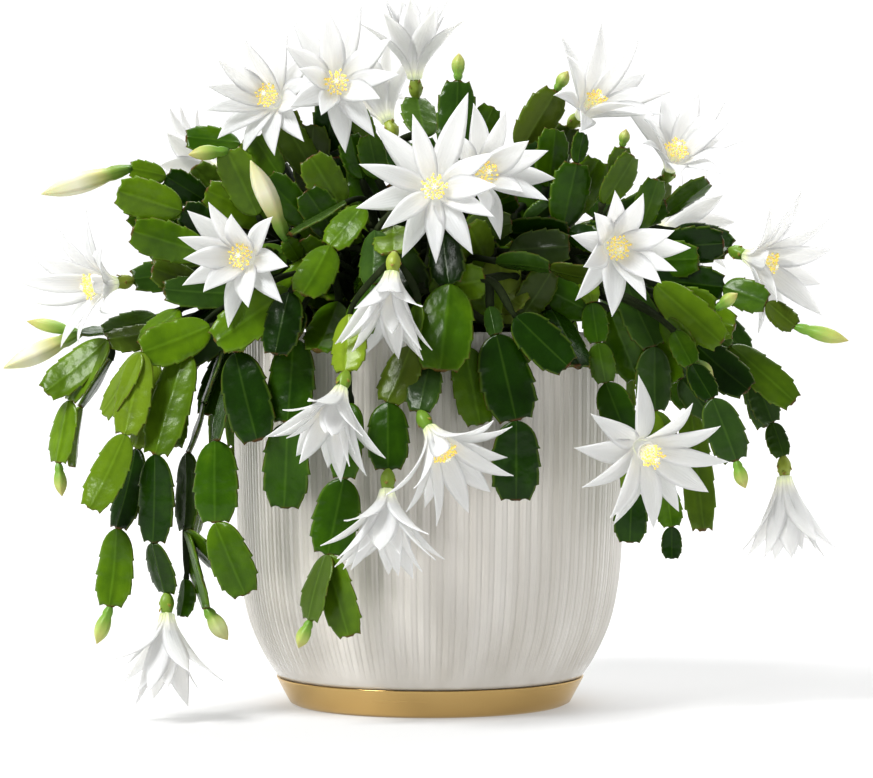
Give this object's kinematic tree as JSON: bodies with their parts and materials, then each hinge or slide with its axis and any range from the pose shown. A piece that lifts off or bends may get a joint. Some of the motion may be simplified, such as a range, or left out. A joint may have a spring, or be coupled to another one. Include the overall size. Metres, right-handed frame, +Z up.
{
  "type": "potted easter cactus",
  "caption": "Flowering Easter cactus with hanging jointed leafy stems and white star blooms, in a ribbed pot that stands in a metal foot cup.",
  "frame": {"origin": "on the surface it stands on, under the pot's axis, at the centre of the foot cup's flat underside", "axes": "+Z up along the pot's axis; -Y is the front, the side with most of the blooms; +X to the right seen from the front"},
  "size_m": [0.4099, 0.3352, 0.3555],
  "materials": {
    "ceramic": "opaque off-white satin glazed ceramic",
    "brass": "brushed",
    "soil": "matte crumbly potting soil",
    "segments": "waxy living leaf",
    "petals": "soft translucent petal",
    "anthers": "powdery"
  },
  "bodies": {
    "root": {"pot": "ceramic", "foot_cup": "brass", "soil": "soil", "stem_left_low": "segments", "stem_left_high": "segments", "stem_front_left": "segments", "stem_front_right": "segments", "stem_right_low": "segments", "stem_right_high": "segments", "stem_top": "segments", "stem_back_left": "segments", "stem_back_right": "segments", "bloom_01": "petals", "bloom_02": "petals", "bloom_03": "petals", "bloom_04": "petals", "bloom_05": "petals", "bloom_06": "petals", "bloom_07": "petals", "bloom_08": "petals", "bloom_09": "petals", "bloom_10": "petals", "bloom_11": "petals", "bloom_12": "petals", "bloom_13": "petals", "bloom_14": "petals", "bloom_15": "petals", "bloom_16": "petals", "bloom_17": "petals", "bloom_18": "petals", "bloom_19": "petals", "bloom_20": "petals", "bloom_21": "petals", "bloom_22": "petals", "bloom_23": "petals", "bloom_24": "petals", "stamens_01": "anthers", "stamens_02": "anthers", "stamens_03": "anthers", "stamens_04": "anthers", "stamens_05": "anthers", "stamens_06": "anthers", "stamens_07": "anthers", "stamens_08": "anthers", "stamens_09": "anthers", "stamens_10": "anthers", "stamens_11": "anthers", "stamens_12": "anthers", "stamens_13": "anthers", "stamens_14": "anthers", "stamens_15": "anthers", "stamens_16": "anthers", "stamens_17": "anthers", "stamens_18": "anthers", "stamens_19": "anthers", "stamens_20": "anthers", "stamens_21": "anthers", "stamens_22": "anthers", "stamens_23": "anthers", "stamens_24": "anthers"}
  },
  "joints": []
}
